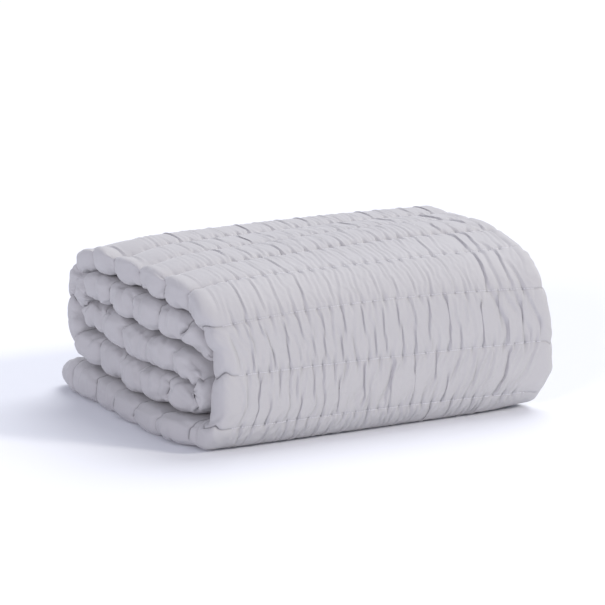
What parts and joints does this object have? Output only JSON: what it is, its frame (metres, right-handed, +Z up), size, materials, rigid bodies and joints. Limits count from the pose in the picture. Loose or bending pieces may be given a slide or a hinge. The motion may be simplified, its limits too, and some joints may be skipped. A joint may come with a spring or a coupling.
{
  "type": "folded quilted coverlet",
  "caption": "Quilted coverlet in light grey microfibre, doubled into a soft band, wrapped and folded back and forth into a stack that lies on a flat surface.",
  "frame": {"origin": "on the surface the coverlet lies on, under the middle of its bounding box", "axes": "+X along the stack and its lines of quilting, -Y towards the wrapped front face, +Z up"},
  "size_m": [0.6032, 0.494, 0.2507],
  "materials": {
    "cloth": "brushed microfibre, quilted, soft and matt with a slight sheen"
  },
  "bodies": {
    "root": {"coverlet": "cloth"}
  },
  "joints": []
}
